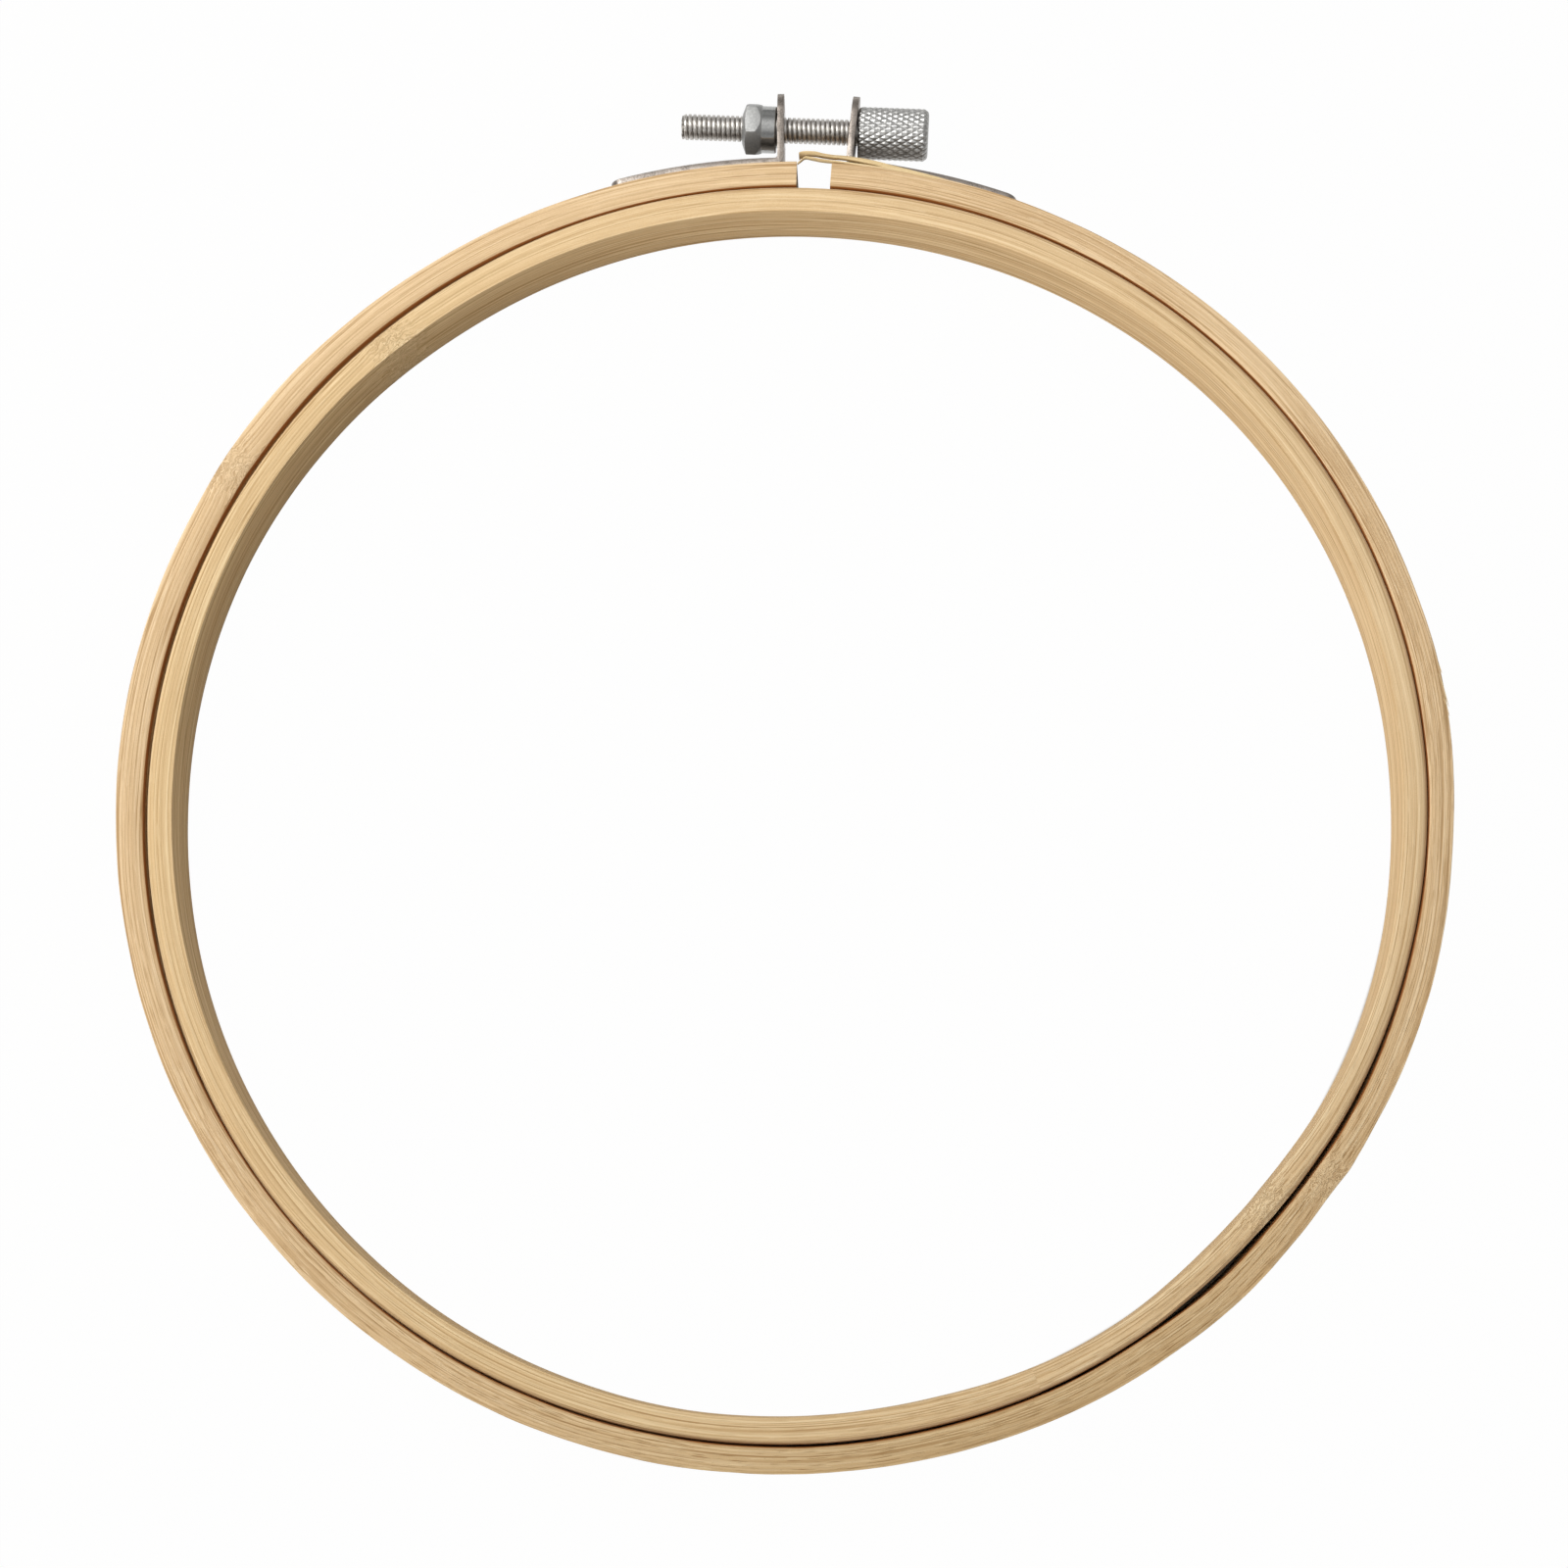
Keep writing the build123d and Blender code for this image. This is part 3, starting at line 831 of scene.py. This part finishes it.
# The threaded rod: a length of rolled metric thread, sawn off at its free end, where the
# saw has left a burr. The other end is fixed in the knob.
rod_low, rod_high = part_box("threaded_rod")
screw_line = Vector((0, (rod_low.y + rod_high.y) / 2, (rod_low.z + rod_high.z) / 2))
thread_radius = (rod_high.z - rod_low.z) / 2
thread_pitch = 0.7 * mm
thread_inset = 0.08 * mm
crest_share = 0.52
burr_length = 0.5 * mm
burr_out = 1.1 * mm
burr_along = 0.35 * mm
saw_hollow = 0.18 * mm
burr_stretch, burr_scale = 400, 2.2


def off_screw(w, place):
    """How far a place is from the screw's axis."""
    _, y, z = parts(w, place)
    y, z = y - screw_line.y, z - screw_line.z
    return w.maths("SQRT", y * y + z * z)


def along_screw(w, mesh, origin, along, across, up):
    """Moves each point of a round bar to a place along its axis and off it."""
    x, y, z = parts(w, origin)
    return moved(w, mesh, along + x, across + y, up + z)


def thread_tree(name):
    """A bar whose surface is one continuous right-hand thread with rounded crests."""
    inputs = {
        "Radius": "Float",
        "Depth": "Float",
        "Pitch": "Float",
        "Length": "Float",
        "Steps": "Int",
        "Round": "Int",
        "Origin": "Vector",
        "Material": "Material",
    }
    w, given = open_tree(name, inputs)
    bar = {"Vertices": given["Round"], "Side Segments": given["Steps"], "Radius": 1.0, "Depth": 1.0}
    mesh = w.node("GeometryNodeMeshCylinder", {"fill_type": "TRIANGLE_FAN"}, bar)
    across, up, share = position(w)
    along = (share + 0.5) * given["Length"]
    turn = w.maths("ARCTAN2", up, across)
    wave = w.maths("PINGPONG", along / given["Pitch"] - turn / (2 * pi), 0.5) * 2
    crest = between(w, wave, 0.0, crest_share)
    faded = between(w, along, 0.0, given["Pitch"] * 0.9, 0.45, 1.0)
    radius = given["Radius"] - given["Depth"] * (1 - crest * faded)
    reach = w.maths("SQRT", across * across + up * up)
    place = w.node("ShaderNodeCombineXYZ", {}, {0: along * burr_stretch, 1: across, 2: up})
    rough = noise(w, place, burr_scale, detail=3.0) - 0.5
    sawn = between(w, along, 0.0, burr_length, 1.0, 0.0)
    radius = (radius + rough * sawn * burr_out) * reach
    hollow = sawn * (1 - reach * reach) * saw_hollow
    along = along + hollow + rough * sawn * burr_along
    across, up = across / reach * radius, up / reach * radius
    mesh = along_screw(w, mesh, given["Origin"], along, across, up)
    close_tree(w, mesh, given["Material"])
    return w


def threaded_steel(name):
    """Rolled thread, bright on the flanks, with painted shade darkening the roots."""
    material, w = new_material(name)
    place = w.node("ShaderNodeTexCoord").out("Object")
    radius = off_screw(w, place)
    crest = between(w, radius, thread_radius - 0.42 * mm, thread_radius - 0.12 * mm)
    marks = noise(w, place, 2200.0, detail=3.0)
    base = ramp(w, marks, (0.3, colour(178, 174, 168)), (0.7, colour(224, 220, 215)))
    # Painted shade: the thread's roots are darkened towards a dark brownish grey.
    base = mixed(w, (1 - crest) * 0.25, base, colour(78, 72, 64))
    bump = bumped(w, marks, strength=0.3, depth=0.04 * mm)
    rough = between(w, marks, 0.3, 0.7, 0.32, 0.46)
    finish_material(w, base_color=base, metallic=1.0, roughness=rough, normal=bump)
    return material


rod_values = {
    "Radius": thread_radius - thread_inset,
    "Depth": 0.34 * mm,
    "Pitch": thread_pitch,
    "Length": rod_high.x - rod_low.x,
    "Steps": 520,
    "Round": 64,
    "Origin": (rod_low.x, screw_line.y, screw_line.z),
    "Material": threaded_steel("threaded_steel"),
}
rod = grown("thread", thread_tree("thread"), rod_values, sharp=60)
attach(rod, "screw")
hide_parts("threaded_rod")


# The knob: a steel barrel with a rolled diamond knurl, rounded at its outer end and faced
# flat towards the ear. It is fixed on the rod, and turns the screw.
knob_low, knob_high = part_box("knurled_knob")
knob_radius = (knob_high.z - knob_low.z) / 2
one_way_steeper = 1.15
groove_softness = 0.08
diamond_top = 0.92


def knurl_tree(name):
    """A barrel whose side is cut by two crossing families of helical grooves."""
    inputs = {
        "Radius": "Float",
        "Length": "Float",
        "End Radius": "Float",
        "Face Chamfer": "Float",
        "Grooves": "Int",
        "Groove Depth": "Float",
        "Diamond Length": "Float",
        "Steps": "Int",
        "Round": "Int",
        "Origin": "Vector",
        "Material": "Material",
    }
    w, given = open_tree(name, inputs)
    bar = {
        "Vertices": given["Round"],
        "Side Segments": given["Steps"],
        "Fill Segments": 6,
        "Radius": 1.0,
        "Depth": 1.0,
    }
    mesh = w.node("GeometryNodeMeshCylinder", {"fill_type": "TRIANGLE_FAN"}, bar)
    across, up, share = position(w)
    along = (share + 0.5) * given["Length"]
    reach = w.maths("SQRT", across * across + up * up)
    turns = w.maths("ARCTAN2", up, across) / (2 * pi) * given["Grooves"]
    repeats = along / given["Diamond Length"]
    one_way = w.maths("PINGPONG", turns + repeats, 0.5) * 2
    other_way = w.maths("PINGPONG", turns - repeats, 0.5) * 2
    peak = w.maths("SMOOTH_MIN", one_way * one_way_steeper, other_way, groove_softness)
    peak = w.maths("MINIMUM", peak, diamond_top)
    end = given["End Radius"]
    into_end = w.maths("MAXIMUM", along - (given["Length"] - end), 0.0)
    rounded = w.maths("SQRT", w.maths("MAXIMUM", end * end - into_end * into_end, 0.0))
    at_face = w.maths("MAXIMUM", given["Face Chamfer"] - along, 0.0)
    barrel = given["Radius"] - end + rounded - at_face
    side = w.maths("GREATER_THAN", reach, 0.99)
    radius = (barrel - (diamond_top - peak) * given["Groove Depth"] * side) * reach
    reach = w.maths("MAXIMUM", reach, 0.001)
    across, up = across / reach * radius, up / reach * radius
    mesh = along_screw(w, mesh, given["Origin"], along, across, up)
    close_tree(w, mesh, given["Material"])
    return w


def knurled_steel(name):
    """Bright steel on the diamonds, with painted shade darkening the grooves."""
    material, w = new_material(name)
    place = w.node("ShaderNodeTexCoord").out("Object")
    radius = off_screw(w, place)
    crest = between(w, radius, knob_radius - 0.22 * mm, knob_radius - 0.05 * mm)
    marks = noise(w, place, 1800.0, detail=3.0)
    base = ramp(w, marks, (0.3, colour(190, 189, 186)), (0.7, colour(230, 229, 226)))
    # Painted shade: the grooves are darkened towards a dark grey.
    base = mixed(w, (1 - crest) * 0.35, base, colour(60, 58, 54))
    bump = bumped(w, marks, strength=0.3, depth=0.04 * mm)
    rough = between(w, marks, 0.3, 0.7, 0.36, 0.48)
    finish_material(w, base_color=base, metallic=1.0, roughness=rough, normal=bump)
    return material


knob_values = {
    "Radius": knob_radius,
    "Length": knob_high.x - knob_low.x,
    "End Radius": 0.9 * mm,
    "Face Chamfer": 0.3 * mm,
    "Grooves": 26,
    "Groove Depth": 0.2 * mm,
    "Diamond Length": 1.59 * mm,
    "Steps": 156,
    "Round": 312,
    "Origin": (knob_low.x, screw_line.y, screw_line.z),
    "Material": knurled_steel("knurled_steel"),
}
knob = grown("knurled_barrel", knurl_tree("knurl"), knob_values, sharp=80)
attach(knob, "screw")
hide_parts("knurled_knob")


# The studio: a pale floor under the hoop, a soft lamp close by to the upper left, another
# far off to the lower left, and a pale room. The floor shows white to the camera, apart
# from a faint shadow and the dark under the rings.
floor_size = 3.0
floor_drop = 0.2 * mm
floor_white = 0.985
split_clear = 5.0 * mm
dark_from, dark_full = bore_radius + 0.55 * mm, bore_radius + 1.15 * mm
dark_until, dark_gone = outer_ring_radius - 1.1 * mm, outer_ring_radius - 0.5 * mm


def studio_floor(name):
    """White to the camera and to reflections, pale under the lamps."""
    material, w = new_material(name)
    x, y, _ = parts(w, w.node("ShaderNodeTexCoord").out("Object"))
    radius = w.maths("SQRT", x * x + y * y)
    under = between(w, radius, dark_from, dark_full)
    under = under * between(w, radius, dark_until, dark_gone, 1.0, 0.0)
    at_split = w.maths("LESS_THAN", w.maths("ABSOLUTE", x), split_clear)
    at_split = at_split * w.maths("GREATER_THAN", y, 0.0)
    ray = w.node("ShaderNodeLightPath")
    lit = w.maths("MAXIMUM", ray.out("Is Camera Ray"), ray.out("Is Glossy Ray"))
    lit = w.maths("MAXIMUM", lit, ray.out("Is Transmission Ray"))
    lit = lit * (1 - under * (1 - at_split))
    pale = w.node("ShaderNodeBsdfDiffuse", {}, {"Color": colour(174, 162, 142)})
    white = w.node("ShaderNodeEmission", {}, {"Color": (1, 1, 1, 1), "Strength": 1.0})
    shader = w.node("ShaderNodeMixShader", {}, {0: lit * floor_white, 1: pale, 2: white})
    w.node("ShaderNodeOutputMaterial", {}, {"Surface": shader})
    return material


floor_mesh = bpy.data.meshes.new("floor")
half, level = floor_size / 2, cad_box[0].z - floor_drop
corners = [(-half, -half, level), (half, -half, level), (half, half, level), (-half, half, level)]
floor_mesh.from_pydata(corners, [], [(0, 1, 2, 3)])
floor = bpy.data.objects.new("floor", floor_mesh)
floor_mesh.materials.append(studio_floor("studio_floor"))
scene.collection.objects.link(floor)


def soft_lamp(name, place, aim, size, power):
    """A square soft box that points at a place."""
    lamp = bpy.data.objects.new(name, bpy.data.lights.new(name, "AREA"))
    lamp.data.size = size
    lamp.data.energy = power
    lamp.location = place
    lamp.rotation_euler = (Vector(aim) - Vector(place)).to_track_quat("-Z", "Y").to_euler()
    scene.collection.objects.link(lamp)


near_lamp_place = (-0.19, 0.165, 0.35)
side_lamp_place = (-1.5, -1.331, 0.35)
hoop_middle = (0, 0, 0)
soft_lamp("near_lamp", near_lamp_place, hoop_middle, size=0.264, power=1.16)
soft_lamp("side_lamp", side_lamp_place, hoop_middle, size=0.8, power=18.5)


def grey(level):
    """A grey of the room, from 0 to 1."""
    return (level, level, level, 1)


world = bpy.data.worlds.new("room")
scene.world = world
world.use_nodes = True
world.node_tree.nodes.clear()
w = Wire(world.node_tree)
height = parts(w, w.node("ShaderNodeTexCoord").out("Generated"))[2]
greys = [(0.0, grey(0.30)), (0.5, grey(0.50)), (0.75, grey(0.34)), (1.0, grey(0.18))]
room = ramp(w, height, *greys)
seen = w.node("ShaderNodeLightPath").out("Is Camera Ray")
shader = w.node("ShaderNodeBackground", {}, {"Color": mixed(w, seen, room, grey(1))})
w.node("ShaderNodeOutputWorld", {}, {"Surface": shader})
